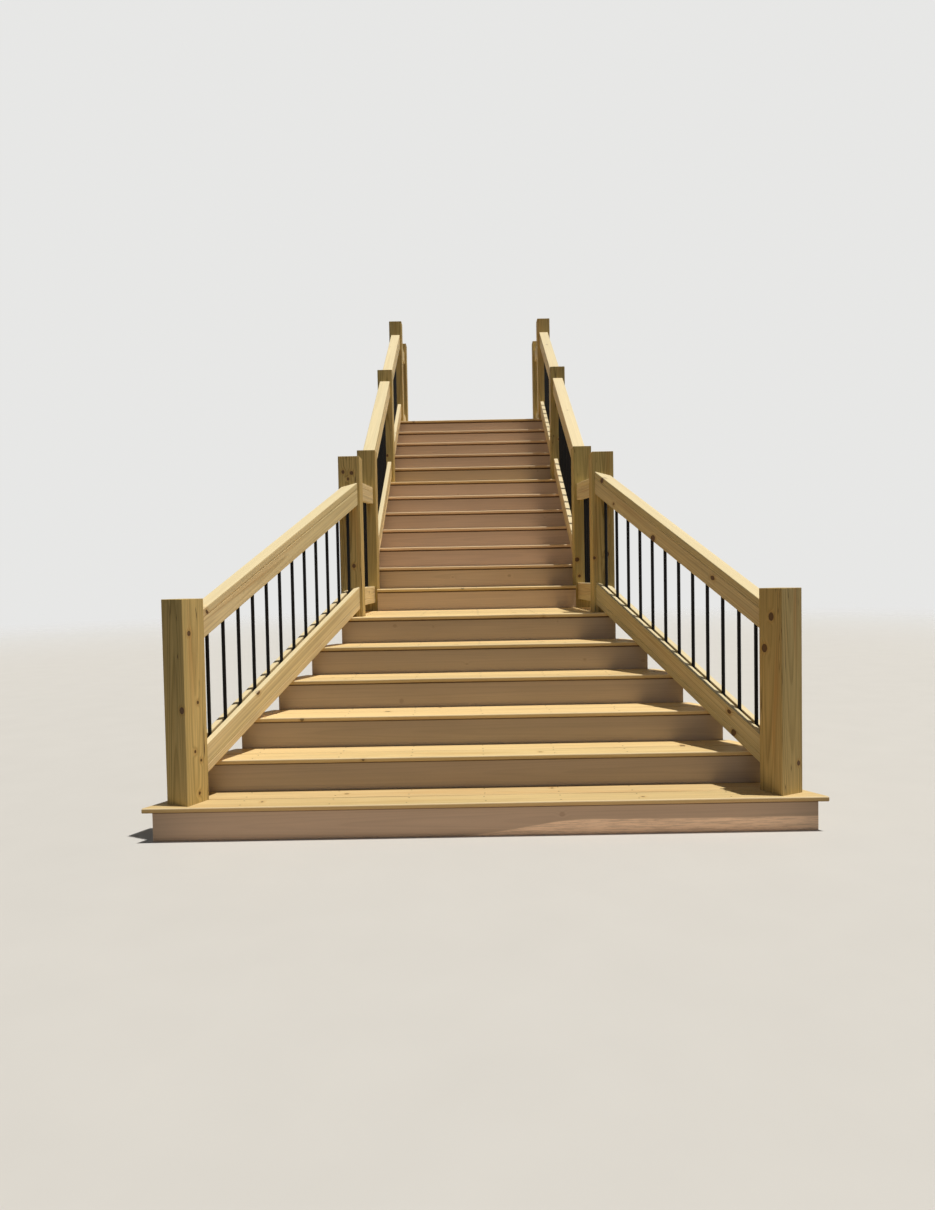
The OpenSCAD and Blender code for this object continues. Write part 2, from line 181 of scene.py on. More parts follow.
def riser_half(k):
    """Half length of a riser; the first one of the upper flight fits between the posts."""
    if k <= PLATFORM_STEP:
        return HALF_FIRST - (k - 1) * HALF_STEP
    return HALF_CLEAR - NOTCH_GAP if k == UPPER_FIRST else HALF_UPPER


def slanted_half(y):
    """Half length of the lower treads, which end parallel to the slanting sides."""
    return HALF_FIRST - y * SIDE_SLOPE + NOSING * math.hypot(1, SIDE_SLOPE)


def upright(thick, length, climb):
    """Upright height of a plank's thickness on a slope."""
    return thick * math.hypot(1, climb / length)


# Timber
class Piece:
    """The look of one node: its timbers, rods and screws gathered in one mesh. Its shade and nose hold for
    the timbers that follow: a painted lightness from 0 to 1 that stands in for light and shade, and 1 for
    the front board of a step."""

    def __init__(self, name, slot, *materials):
        self.name = name
        self.slot = slot
        self.materials = materials
        self.shade = None
        self.nose = 0.0
        self.bm = bmesh.new()

    def take(self, bm, matrix=PLACE, finish=0):
        """Adds a finished part where the matrix lays it, in one of the piece's materials."""
        bmesh.ops.transform(bm, matrix=matrix, verts=bm.verts)
        if matrix.determinant() < 0:
            bmesh.ops.reverse_faces(bm, faces=bm.faces)
        for face in bm.faces:
            face.material_index = finish
        part = bpy.data.meshes.new("part")
        bm.to_mesh(part)
        bm.free()
        self.bm.from_mesh(part)
        bpy.data.meshes.remove(part)

    def build(self):
        mesh = bpy.data.meshes.new(self.name)
        self.bm.to_mesh(mesh)
        self.bm.free()
        for material in self.materials:
            mesh.materials.append(material)
        piece = bpy.data.objects.new("look_" + self.name, mesh)
        bpy.context.scene.collection.objects.link(piece)
        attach(piece, "root")
        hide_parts(self.name)


def everything(bm):
    return bm.verts[:] + bm.edges[:] + bm.faces[:]


def ease_edges(bm, along, long_edge, cut_edge):
    """Rounds the edges that run with the grain, then breaks the sawn ends."""
    for runs_with_grain, ease, segments in ((True, long_edge, 3), (False, cut_edge, 1)):
        edges = []
        for edge in bm.edges:
            way = (edge.verts[1].co - edge.verts[0].co).normalized()
            sharp = edge.calc_face_angle(0) > SHARP_EDGE
            if sharp and (abs(way.dot(along)) > WITH_GRAIN) == runs_with_grain:
                edges.append(edge)
        bmesh.ops.bevel(bm, geom=edges, offset=ease, offset_type="OFFSET", segments=segments, profile=0.5,
                        affect="EDGES", clamp_overlap=True, material=-1)


def drift(most):
    return draw.uniform(-most, most)


def random_knots(reach, heart):
    """Knots scattered over the broad faces of a timber, given by its reach from the middle on three axes;
    a boxed one has them on all four faces."""
    length, broad, thick = reach
    knots = []
    for i in range(BRANCHES):
        if draw.random() < length * KNOT_CHANCE:
            spot = (drift(length), drift(broad), draw.choice((-thick, thick)))
            if heart == "boxed" and draw.random() < 0.5:
                spot = (spot[0], draw.choice((-broad, broad)), drift(thick))
            radius = draw.choice((0.003, 0.004, 0.005, 0.006, 0.010)) * draw.uniform(0.8, 1.2)
            knots.append((spot, radius))
    return knots


def place_in_log(reach, heart):
    """Where the pith runs from a timber's middle, how it leans, and how far up the log that middle is."""
    if heart == "boxed":
        pith = (drift(0.015), drift(0.015))
    else:
        pith = (drift(0.6) * reach[1], draw.choice((-1, 1)) * draw.uniform(0.035, 0.085))
    lean = (drift(0.010), drift(0.014))
    if heart == "boxed":
        lean = [draw.choice((-1, 1)) * draw.uniform(0.008, 0.024) for _ in lean]
    return pith, lean, draw.uniform(0, LOG_LENGTH)


def mark_log(piece, bm, along, wide, heart, seen):
    """Writes on every corner its place in the log, the way of the grain, the tone and the branches nearby.
    The tone is how light the timber is, drawn at random or given as a painted shade, how green it is, and
    whether it is a nose. A branch is its length along the log, its turn round the pith and its radius. Knots
    that are seen take the place of scattered ones."""
    corners = [v.co.copy() for v in bm.verts]
    axes = (along, wide, along.cross(wide))
    middle = sum(corners, Vector()) / len(corners)
    reach = [max(abs((c - middle).dot(axis)) for c in corners) for axis in axes]
    pith, lean, start = place_in_log(reach, heart)

    def place(run, side, deep):
        return (run + start, side + pith[0] + lean[0] * run, deep + pith[1] + lean[1] * run)

    knots = random_knots(reach, heart)
    if seen is not None:
        spots = [Vector(point) - middle for point, radius in seen]
        knots = [([spot.dot(axis) for axis in axes], radius) for spot, (point, radius) in zip(spots, seen)]
    branches = [(0, 0, 0)] * BRANCHES
    for i, (spot, radius) in enumerate(knots):
        run, side, deep = place(*spot)
        branches[i] = (run, math.atan2(deep, side), radius)
    tone = [draw.random() for _ in range(3)]
    if piece.shade is not None:
        tone[0] = piece.shade
    tone[2] = piece.nose
    names = ["log", "grain", "tone"] + [f"branch_{i}" for i in range(BRANCHES)]
    layers = [bm.verts.layers.float_vector.new(name) for name in names]
    for v in bm.verts:
        log = place(*[(v.co - middle).dot(axis) for axis in axes])
        for layer, value in zip(layers, [log, along, tone] + branches):
            v[layer] = value


def timber(piece, outline, push, along, wide, matrix=PLACE, long_edge=LUMBER_EDGE, cut_edge=LUMBER_END,
           cuts=(), heart="flat", knots=None, lift=None, stations=()):
    """Sawn timber: an outline pushed sideways, cut off at planes, divided at stations across it, eased, and
    lifted a little where it lies uneven."""
    along, wide = Vector(along).normalized(), Vector(wide).normalized()
    bm = bmesh.new()
    face = bm.faces.new([bm.verts.new(p) for p in outline])
    pushed = bmesh.ops.extrude_face_region(bm, geom=[face])["geom"]
    bmesh.ops.translate(bm, vec=push, verts=[v for v in pushed if isinstance(v, bmesh.types.BMVert)])
    for point, normal in cuts:
        cut = bmesh.ops.bisect_plane(bm, geom=everything(bm), plane_co=point, plane_no=normal,
                                     clear_outer=True)
        rim = [e for e in cut["geom_cut"] if isinstance(e, bmesh.types.BMEdge)]
        bmesh.ops.contextual_create(bm, geom=rim)
    for x in stations:
        bmesh.ops.bisect_plane(bm, geom=everything(bm), plane_co=(x, 0, 0), plane_no=ACROSS)
    bmesh.ops.recalc_face_normals(bm, faces=bm.faces)
    ease_edges(bm, along, long_edge, cut_edge)
    mark_log(piece, bm, along, wide, heart, knots)
    if lift:
        for v in bm.verts:
            v.co.z += lift(v.co)
    turned = matrix.to_3x3() @ along
    grain = bm.verts.layers.float_vector["grain"]
    for v in bm.verts:
        v[grain] = turned
    piece.take(bm, matrix)


def box(piece, low, high, along, wide, **options):
    """Square timber between two corners."""
    (x0, y0, z0), (x1, y1, z1) = low, high
    outline = [(x0, y0, z0), (x0, y1, z0), (x0, y1, z1), (x0, y0, z1)]
    timber(piece, outline, (x1 - x0, 0, 0), along, wide, **options)


# Treads and risers
def screw(piece, x, y, z):
    """Flat screw head let into a board, with its square drive."""
    head, drive, dome, depth = 0.0042, 0.0015, 0.0003, 0.0008
    bm = bmesh.new()
    bmesh.ops.create_circle(bm, cap_ends=True, segments=12, radius=head,
                            matrix=Matrix.Translation((x, y, z + dome)))
    face = bm.faces[:][0]
    for inset, rise in ((head * 0.2, dome), (head * 0.8 - drive, 0), (drive * 0.1, -depth)):
        bmesh.ops.inset_individual(bm, faces=[face], thickness=inset, depth=rise)
    piece.take(bm, finish=1)


def uneven(half, y):
    """How far a board's front edge stands up off its bearers, which changes along the board."""
    lifts = [draw.uniform(0, BOARD_LIFT) * draw.random() for _ in range(LIFT_POINTS)]

    def lift(point):
        place = min(max((point.x / half + 1) / 2, 0), 1) * (len(lifts) - 1)
        i = min(int(place), len(lifts) - 2)
        ease = (1 - math.cos(math.pi * (place - i))) / 2
        front = 1 - BACK_FALL * (point.y - y) / BOARD_W
        return front * (lifts[i] + (lifts[i + 1] - lifts[i]) * ease)
    return lift


def notch_at(y, clear=HALF_CLEAR):
    """Notch for a pair of posts: its depth range, and the half length that it leaves of a board."""
    return (y - NOTCH_GAP, y + POST_W + NOTCH_GAP, clear - NOTCH_GAP)


def board_plan(y, half, back, notches):
    """Plan of a deck board that reaches as far as half along its front and back along its back."""
    y1 = y + BOARD_W
    for near, far, inner in notches:
        if near >= y1 or far <= y:
            continue
        if near > y:
            return [(-half, y), (half, y), (half, near), (inner, near), (inner, y1),
                    (-inner, y1), (-inner, near), (-half, near)]
        if far < y1:
            return [(-inner, y), (inner, y), (inner, far), (half, far), (half, y1),
                    (-half, y1), (-half, far), (-inner, far)]
        return [(-inner, y), (inner, y), (inner, y1), (-inner, y1)]
    return [(-half, y), (half, y), (back, y1), (-back, y1)]


def board(piece, y, top, half_at, notches, lines, knots):
    """Deck board across the stairs, with its screws; half_at gives its half length at a depth."""
    half, back = half_at(y), half_at(y + BOARD_W)
    lift = uneven(half, y)
    stations = [half * (2 * i / BOARD_PARTS - 1) for i in range(1, BOARD_PARTS)]
    plan = [(a, b, top - BOARD_T) for a, b in board_plan(y, half, back, notches)]
    timber(piece, plan, (0, 0, BOARD_T), ACROSS, BACK, long_edge=BOARD_EDGE, cut_edge=BOARD_END,
           knots=knots, lift=lift, stations=stations)
    for x in sorted({side * line for line in lines for side in (-1, 1)}):
        for inset in (SCREW_INSET, BOARD_W - SCREW_INSET):
            at = Vector((x + drift(SCREW_DRIFT[0]), y + inset + drift(SCREW_DRIFT[1]), 0))
            screw(piece, at.x, at.y, top + lift(at))


def boards(piece, y, top, half_at, count, notches, lines):
    """Boards of a tread or deck, the first of them a nosing out in front of the riser face at y."""
    for i in range(count):
        front = y - NOSING + i * (BOARD_W + BOARD_GAP)
        piece.nose = float(i == 0)
        board(piece, front, top, half_at, notches, lines, TREAD_KNOTS.get((piece.name, i)))


def riser(piece, k):
    """Riser board from the stringers' seat up to its tread."""
    foot = 0 if k == 1 else (k - 1) * RISE - BOARD_T
    half = riser_half(k)
    y = step_y(k)
    box(piece, (-half, y, foot), (half, y + RISER_T, k * RISE - BOARD_T), ACROSS, UP, long_edge=RISER_EDGE,
        cut_edge=CRISP_END, knots=RISER_KNOTS.get(k))


# Framing
def stringer_outline(a, b, foot_z):
    """Side view of a notched plank from step a to step b, as depths and heights."""
    throat = PLANK_H * math.hypot(RISE, GOING) / GOING - RISE
    first = step_y(a) + RISER_T
    last = step_y(b) + GOING + RISER_T
    seat = a * RISE - BOARD_T
    line = seat - RISE
    outline = [(first, foot_z)]
    for k in range(a, b + 1):
        outline += [(step_y(k) + RISER_T, k * RISE - BOARD_T),
                    (step_y(k) + RISER_T + GOING, k * RISE - BOARD_T)]
    outline.append((last, line + (last - first) * STEEP - throat))
    outline.append((first + (foot_z - line + throat) / STEEP, foot_z))
    return outline


def stringer(piece, outline, x, matrix=PLACE, cuts=()):
    timber(piece, [(x - LUMBER_T / 2, y, z) for y, z in outline], (LUMBER_T, 0, 0), SLOPE, SLOPE_WIDE,
           matrix=matrix, cut_edge=CRISP_END, cuts=cuts)


def lower_stringers(piece):
    """Notched planks of the lower flight, with a slanting one that closes each side."""
    outline = stringer_outline(1, LOWER_STEPS, 0)
    reach = math.hypot(1, SIDE_SLOPE)
    edge = HALF_FIRST - (LUMBER_T + FIT_GAP) * reach
    along = Vector((-SIDE_SLOPE * GOING, GOING, RISE))
    stringer(piece, outline, 0)
    for matrix in SIDES.values():
        stringer(piece, outline, INNER_LINE, matrix)
        stringer(piece, outline, POST_LINE, matrix)
        stringer(piece, outline, FLARE_LINE, matrix, cuts=[((edge, 0, 0), (1, SIDE_SLOPE, 0))])
        slanted = [(HALF_FIRST - LUMBER_T * reach - y * SIDE_SLOPE, y, z) for y, z in outline]
        timber(piece, slanted, (LUMBER_T * reach, 0, 0), along, along.cross(Vector((1, SIDE_SLOPE, 0))),
               matrix=matrix, cut_edge=CRISP_END)


def upper_stringers(piece):
    outline = stringer_outline(UPPER_FIRST, LANDING_STEP - 1, PLATFORM_Z - BOARD_T)
    stringer(piece, outline, 0)
    for matrix in SIDES.values():
        stringer(piece, outline, INNER_LINE, matrix)
        stringer(piece, outline, POST_LINE, matrix)


def deck_frame(piece, front_y, end_y, top, clear):
    """Rims and joists under a deck; the side joists pass the posts at the given clear half width."""
    under = top - BOARD_T
    rim_y = front_y + RISER_T
    inner_y = rim_y + LUMBER_T + FIT_GAP
    inner_x = clear - LUMBER_T
    box(piece, (-HALF_UPPER, rim_y, under - PLANK_H), (HALF_UPPER, rim_y + LUMBER_T, under), ACROSS, UP)
    box(piece, (FIT_GAP - inner_x, end_y - LUMBER_T, under - PLANK_H), (inner_x - FIT_GAP, end_y, under),
        ACROSS, UP)
    for matrix in SIDES.values():
        box(piece, (inner_x, inner_y, under - PLANK_H), (clear, end_y, under), BACK, UP, matrix=matrix)
    for x in (-INNER_LINE, 0, INNER_LINE):
        box(piece, (x - LUMBER_T / 2, inner_y, under - JOIST_H),
            (x + LUMBER_T / 2, end_y - LUMBER_T - FIT_GAP, under), BACK, UP)


# Posts
TURN = math.atan((FIRST_POST_X - PLATFORM_POST_X) / (PLATFORM_POST_Y - FIRST_POST_Y))
LOWER_LEN = math.hypot(FIRST_POST_X - PLATFORM_POST_X, PLATFORM_POST_Y - FIRST_POST_Y) - HALF_POST
AT_FIRST_POST = Matrix.Translation((FIRST_POST_X, FIRST_POST_Y, 0)) @ Matrix.Rotation(TURN, 4, "Z")
ALONG_LOWER = AT_FIRST_POST @ Matrix.Translation((0, HALF_POST, 0))


def post(piece, y, z1, matrix, clear, knots):
    """Square post from the ground up, on its side of the clear width."""
    box(piece, (clear, y, 0), (clear + POST_W, y + POST_W, z1), UP, ACROSS, matrix=matrix,
        long_edge=POST_EDGE, cut_edge=POST_END, heart="boxed", knots=knots)


def first_post(piece, matrix, knots):
    """Post turned in line with the lower rails, and its tenon under the first tread."""
    w, t = HALF_POST, TENON_W / 2
    turned = matrix @ AT_FIRST_POST
    box(piece, (-w, -w, RISE), (w, w, RISE + FIRST_POST_H), UP, ACROSS, matrix=turned,
        long_edge=POST_EDGE, cut_edge=POST_END, heart="boxed", knots=knots)
    box(piece, (-t, -t, 0), (t, t, RISE - BOARD_T), UP, ACROSS, matrix=turned, heart="boxed")


# Railings
def slope_plank(piece, length, climb, top, tall, x0, width, matrix, cuts=(), seen=None):
    """Sloping plank with upright ends; top is the height of its upper edge at the start. Of the knots that
    are seen on the railing, it takes those at its own height."""
    deep = upright(tall, length, climb)
    side = [(0, top), (length, top + climb), (length, top + climb - deep), (0, top - deep)]
    along = Vector((0, length, climb))
    wide = ACROSS if width > tall else along.cross(ACROSS)
    knots = seen and [((x0, run, z), radius) for run, z, radius in seen
                      if 0 <= top + climb * run / length - z <= deep]
    timber(piece, [(x0, y, z) for y, z in side], (width, 0, 0), along, wide, matrix=matrix,
           long_edge=RAIL_EDGE, cut_edge=CRISP_END, cuts=cuts, knots=knots)


def legs(piece, length, climb, top, matrix, cuts, seen):
    """The two planks on edge that the balusters pass between."""
    for x0, knots in ((-SLOT_W / 2 - LUMBER_T, seen), (SLOT_W / 2, None)):
        slope_plank(piece, length, climb, top, RAIL_LEG, x0, LUMBER_T, matrix, cuts, knots)


def top_rail(piece, length, climb, top, matrix, cuts=(), seen=None):
    """A flat plank over two on edge."""
    slope_plank(piece, length, climb, top, LUMBER_T, -RAIL_W / 2, RAIL_W, matrix, cuts, seen)
    legs(piece, length, climb, top - upright(LUMBER_T, length, climb), matrix, cuts, seen)


def bottom_rail(piece, length, climb, top, matrix, cuts=(), seen=None):
    """A flat plank under two on edge."""
    slope_plank(piece, length, climb, top - upright(RAIL_LEG, length, climb), LUMBER_T,
                -RAIL_W / 2, RAIL_W, matrix, cuts, seen)
    legs(piece, length, climb, top, matrix, cuts, seen)


def lower_nose(y):
    """Height of the line over the noses of the lower flight."""
    return RISE + (y + NOSING) * STEEP


def upper_nose(y):
    """Height of the line over the noses of the upper flight."""
    return PLATFORM_Z + RISE + (y - UPPER_Y + NOSING) * STEEP


LOWER_START = FIRST_POST_Y + HALF_POST * math.cos(TURN)
STEP_CLIMB = LOWER_LEN * STEEP * math.cos(TURN)
LOWER_CLIMB = {side: STEP_CLIMB + gain for side, gain in LOWER_RAIL_GAIN.items()}
LOWER_TOP = lower_nose(LOWER_START) + LOWER_RAIL_H
LOWER_FOOT_CLIMB = STEP_CLIMB - LOWER_FOOT_LOSS
LOWER_FOOT_TOP = (lower_nose(LOWER_START) + SLOPED_RAIL_LIFT
                  + upright(RAIL_LEG + LUMBER_T, LOWER_LEN, LOWER_FOOT_CLIMB))


def deck_bay(names, y, end_y, deck, climb, height):
    """Railing between two posts beside a deck, with a level bottom rail."""
    return names, y, end_y - y, climb, deck + height, 0, deck + LEVEL_RAIL_LIFT + RAIL_LEG + LUMBER_T


def upper_bay(names, y, end_y):
    """Railing between two posts that climbs with the upper flight."""
    length = end_y - y
    climb = length * STEEP
    foot_top = upper_nose(y) + SLOPED_RAIL_LIFT + upright(RAIL_LEG + LUMBER_T, length, climb)
    return names, y, length, climb, upper_nose(y) + UPPER_RAIL_H, climb, foot_top


# Names, depth, length, and the climb and starting height of the top rail and of the bottom rail
BAYS = [
    deck_bay("platform_{}", PLATFORM_POST_Y + POST_W, FOOT_POST_Y, PLATFORM_Z, PLATFORM_RAIL_CLIMB,
             PLATFORM_RAIL_H),
    upper_bay("upper_{}_a", FOOT_POST_Y + POST_W, MIDDLE_POST_Y),
    upper_bay("upper_{}_b", MIDDLE_POST_Y + POST_W, LANDING_POST_Y),
    deck_bay("landing_{}", LANDING_POST_Y + POST_W, WALL_POST_Y, LANDING_Z, 0, LANDING_RAIL_H),
]


def baluster(piece, matrix, y, z0, z1):
    """Round rod, smooth all round."""
    bm = bmesh.new()
    bmesh.ops.create_cone(bm, cap_ends=True, cap_tris=False, segments=24, radius1=BALUSTER_D / 2,
                          radius2=BALUSTER_D / 2, depth=z1 - z0,
                          matrix=Matrix.Translation((0, y, (z0 + z1) / 2)))
    for face in bm.faces:
        face.smooth = len(face.verts) == 4
    for edge in bm.edges:
        edge.smooth = all(len(face.verts) == 4 for face in edge.link_faces)
    piece.take(bm, matrix)


def baluster_row(piece, matrix, places, length, climb, top, foot_climb, foot_top):
    """Balusters from the flat plank of the bottom rail to that of the top rail."""
    tilt, foot_tilt = climb / length, foot_climb / length
    high = top - upright(LUMBER_T, length, climb)
    low = foot_top - upright(RAIL_LEG, length, foot_climb)
    r = BALUSTER_D / 2
    for y in places:
        baluster(piece, matrix, y, low + (y + r) * foot_tilt + FIT_GAP, high + (y - r) * tilt - FIT_GAP)


def even_places(length):
    """Balusters spread evenly between two posts."""
    count = math.ceil(length / BALUSTER_PITCH) - 1
    return [i * length / (count + 1) for i in range(1, count + 1)]


def places_from_end(length):
    """Balusters at the full pitch, counted down from the upper end, where the last one stands close."""
    count = math.floor((length - LAST_BALUSTER_GAP - HALF_POST) / BALUSTER_PITCH)
    return [length - LAST_BALUSTER_GAP - i * BALUSTER_PITCH for i in range(count + 1)]


# Knots that show from the front, each with a radius: on a post or board the place on its face, on a railing
# the distance along it from the first post and the height, first of the top rail and then of the bottom rail
FIRST_POST_KNOTS = {
    "left": [((-HALF_POST, -0.030, 1.012), 0.009), ((-HALF_POST, 0.014, 0.668), 0.006),
             ((-0.050, -HALF_POST, 0.639), 0.012), ((-HALF_POST, -0.012, 0.429), 0.006),
             ((-HALF_POST, 0.025, 0.379), 0.005), ((-HALF_POST, 0.009, 0.218), 0.006)],
    "right": [((-HALF_POST, -0.006, 1.041), 0.015), ((-HALF_POST, 0.036, 0.884), 0.015),
              ((0.042, -HALF_POST, 0.319), 0.009), ((HALF_POST, -0.045, 1.060), 0.012)],
}
POST_KNOTS = {
    ("platform_posts", "left"): [((0.867, PLATFORM_POST_Y, 1.968), 0.008),
                                 ((0.811, PLATFORM_POST_Y, 1.960), 0.009),
                                 ((0.835, PLATFORM_POST_Y, 1.922), 0.007),
                                 ((0.809, PLATFORM_POST_Y, 1.354), 0.010)],
    ("platform_posts", "right"): [((0.849, PLATFORM_POST_Y, 1.401), 0.012),
                                  ((0.764, PLATFORM_POST_Y, 1.377), 0.007)],
    ("foot_posts", "right"): [((0.790, FOOT_POST_Y, 1.393), 0.012),
                              ((0.807, FOOT_POST_Y, 1.264), 0.008)],
}
LOWER_RAIL_KNOTS = {
    "left": ([(0.045, 1.108, 0.005)], [(0.397, 0.657, 0.010)]),
    "right": ([(0.336, 1.234, 0.011), (0.816, 1.473, 0.014), (1.187, 1.711, 0.006), (1.305, 1.871, 0.011)],
              [(0.225, 0.529, 0.011), (0.194, 0.424, 0.012)]),
}
TREAD_KNOTS = {
    ("tread_1", 0): [((0.776, 0.030, 0.170), 0.006), ((-1.10, 0.06, 0.170), 0.004)],
    ("tread_1", 1): [((-0.700, 0.176, 0.170), 0.009), ((0.35, 0.22, 0.170), 0.005)],
    ("tread_2", 0): [((-0.621, 0.238, 0.328), 0.005), ((0.30, 0.30, 0.340), 0.006)],
    ("tread_2", 1): [((1.069, 0.395, 0.340), 0.010)],
    ("tread_3", 0): [((-0.988, 0.499, 0.497), 0.007)],
    ("platform_deck", 0): [((0.42, 1.30, 1.020), 0.007)],
    ("platform_deck", 4): [((-0.649, 1.895, 1.020), 0.016)],
}
RISER_KNOTS = {
    7: [((-0.188, UPPER_Y, 1.274), 0.010), ((0.269, UPPER_Y, 1.258), 0.011)],
    8: [((0.269, UPPER_Y + GOING, 1.278), 0.010), ((-0.188, UPPER_Y + GOING, 1.274), 0.006)],
    12: [((-0.070, UPPER_Y + 5 * GOING, 2.084), 0.008)],
}

# How light the first posts and the lower rails are painted, from 0 to 1: the timber on the left is the
# paler, painted as lit, and the timber on the right darker, painted as in shade
PAINTED_SHADE_BY_SIDE = {"left": 0.85, "right": 0.15}


# Materials
class Graph:
    """Short way to add shader nodes to a material or a world, and to wire them."""

    def __init__(self, owner):
        self.owner = owner
        owner.use_nodes = True
        self.tree = owner.node_tree
        self.tree.nodes.clear()

    def node(self, kind, sockets=None, **settings):
        made = self.tree.nodes.new("ShaderNode" + kind)
        for key, value in settings.items():
            setattr(made, key, value)
        for key, value in (sockets or {}).items():
            if isinstance(value, bpy.types.NodeSocket):
                self.tree.links.new(value, made.inputs[key])
            else:
                made.inputs[key].default_value = value
        return made

    def math(self, operation, a, b=0.0, c=0.0):
        return self.node("Math", {0: a, 1: b, 2: c}, operation=operation).outputs[0]

    def add(self, a, b):
        return self.math("ADD", a, b)

    def less(self, a, b):
        return self.math("SUBTRACT", a, b)

    def times(self, a, b):
        return self.math("MULTIPLY", a, b)

    def vector(self, operation, a, b=(0, 0, 0)):
        made = self.node("VectorMath", {0: a, 1: b}, operation=operation)
        return made.outputs["Value" if operation in ("LENGTH", "DISTANCE", "DOT_PRODUCT") else "Vector"]

    def mix(self, factor, a, b, blend="MIX"):
        return self.node("Mix", {0: factor, 6: a, 7: b}, data_type="RGBA", blend_type=blend).outputs[2]

    def attribute(self, name):
        return self.node("Attribute", attribute_type="GEOMETRY", attribute_name=name).outputs["Vector"]

    def split(self, vector):
        return self.node("SeparateXYZ", {0: vector}).outputs

    def join(self, x, y, z):
        return self.node("CombineXYZ", {0: x, 1: y, 2: z}).outputs[0]

    def noise(self, place, stretch, detail=2.0, rough=0.5):
        """Noise of about 0.5, with so many lumps a metre each way."""
        scaled = self.vector("MULTIPLY", place, stretch)
        sockets = {"Vector": scaled, "Scale": 1.0, "Detail": detail, "Roughness": rough}
        return self.node("TexNoise", sockets).outputs[0]

    def shaded(self, color, shade):
        """The colour times a factor of about 1."""
        return self.mix(1.0, color, self.join(shade, shade, shade), "MULTIPLY")

    def ramp(self, factor, stops):
        made = self.node("ValToRGB", {0: factor})
        bar = made.color_ramp
        while len(bar.elements) < len(stops):
            bar.elements.new(0.5)
        for element, (place, value) in zip(bar.elements, stops):
            element.position = place
            element.color = (value, value, value, 1)
        return made.outputs[0]

    def fade(self, value, low, high, start=0.0, end=1.0):
        """Smooth step from start at low to end at high."""
        return self.node("MapRange", {0: value, 1: low, 2: high, 3: start, 4: end},
                         interpolation_type="SMOOTHSTEP").outputs[0]

    def swing(self, noise, amount):
        """Turns a noise of about 0.5 into a factor of about 1."""
        return self.math("MULTIPLY_ADD", self.less(noise, 0.5), amount, 1.0)

    def seen(self):
        """1 for rays that show the surroundings: from the camera, off gloss and through glass."""
        path = self.node("LightPath").outputs
        most = self.math("MAXIMUM", path["Is Camera Ray"], path["Is Glossy Ray"])
        return self.math("MAXIMUM", most, path["Is Transmission Ray"])

    def finish(self, color, rough, bump, strength, distance, **sockets):
        """Ends a material with its shader, whose other sockets are named with _ for a space."""
        shader = self.node("BsdfPrincipled", {"Base Color": color, "Roughness": rough})
        for key, value in sockets.items():
            shader.inputs[key.replace("_", " ")].default_value = value
        made = self.node("Bump", {"Strength": strength, "Distance": distance, "Height": bump})
        self.tree.links.new(made.outputs[0], shader.inputs["Normal"])
        out = self.node("OutputMaterial")
        self.tree.links.new(shader.outputs[0], out.inputs[0])
        return self.owner


def rgb(r, g, b):
    return (r, g, b, 1.0)


def object_place(g):
    return g.node("TexCoord").outputs["Object"]


# Colours that the woods and stains share
RESIN = rgb(0.58, 0.27, 0.07)
TREATMENT = rgb(0.34, 0.38, 0.13)
KNOT_HALO = rgb(0.50, 0.28, 0.08)
KNOT_RINGS = (rgb(0.15, 0.068, 0.025), rgb(0.075, 0.032, 0.013))
KNOT_BARK = rgb(0.055, 0.026, 0.012)
KNOT_UNDER_STAIN = rgb(0.16, 0.075, 0.04)
CHECK = rgb(0.10, 0.055, 0.02)
SAWDUST = rgb(0.90, 0.74, 0.48)
END_GRAIN = rgb(0.34, 0.20, 0.08)
# Painted shade on the long sides and on the underside of a board
PAINTED_SIDE_SHADE = rgb(0.20, 0.12, 0.035)
PAINTED_UNDERSIDE_SHADE = rgb(0.13, 0.065, 0.025)
# Painted highlight along the top front edge of a nose board
PAINTED_NOSE_HIGHLIGHT = rgb(1.0, 0.86, 0.58)
# Painted light on faces that look up
PAINTED_UPWARD_LIGHT = rgb(1.0, 0.86, 0.56)
# Painted shadow right under a nose
PAINTED_NOSE_SHADOW = rgb(0.07, 0.04, 0.02)
# Painted sunlight grazing the foot of the first riser
PAINTED_SUNLIGHT = rgb(1.0, 0.80, 0.62)
EARTH_DUST = rgb(0.52, 0.37, 0.24)

# Darkness of the wood within one year, how much longer than wide a knot is, and where the sawdust lies
YEAR = ((0.0, 0.2), (0.06, 0.0), (0.50, 0.06), (0.72, 0.70), (0.93, 1.0), (1.0, 0.2))
KNOT_LENGTH = 1.35
SAWDUST_AT = (1.42, FIRST_POST_Y - MIDDLE_Y + 0.02, RISE)


def knot_distance(g, log):
    """How far a point is from the edge of the nearest branch; less than nothing inside it."""
    length, across, deep = g.split(log)
    nearest = None
    for i in range(BRANCHES):
        at, turn, radius = g.split(g.attribute(f"branch_{i}"))
        cos, sin = g.math("COSINE", turn), g.math("SINE", turn)
        out = g.add(g.times(across, cos), g.times(deep, sin))
        side = g.less(g.times(across, sin), g.times(deep, cos))
        run = g.math("DIVIDE", g.less(length, at), KNOT_LENGTH)
        away = g.vector("LENGTH", g.join(run, side, g.math("MINIMUM", out, 0.0)))
        edge = g.times(radius, g.fade(out, 0.0, 0.04, 0.3, 1.0))
        gap = g.add(g.less(away, edge), g.math("LESS_THAN", radius, 0.001))
        nearest = gap if nearest is None else g.math("MINIMUM", nearest, gap)
    ragged = g.noise(log, (150, 260, 260), 1.0)
    return g.math("MULTIPLY_ADD", g.less(ragged, 0.5), 0.003, nearest)


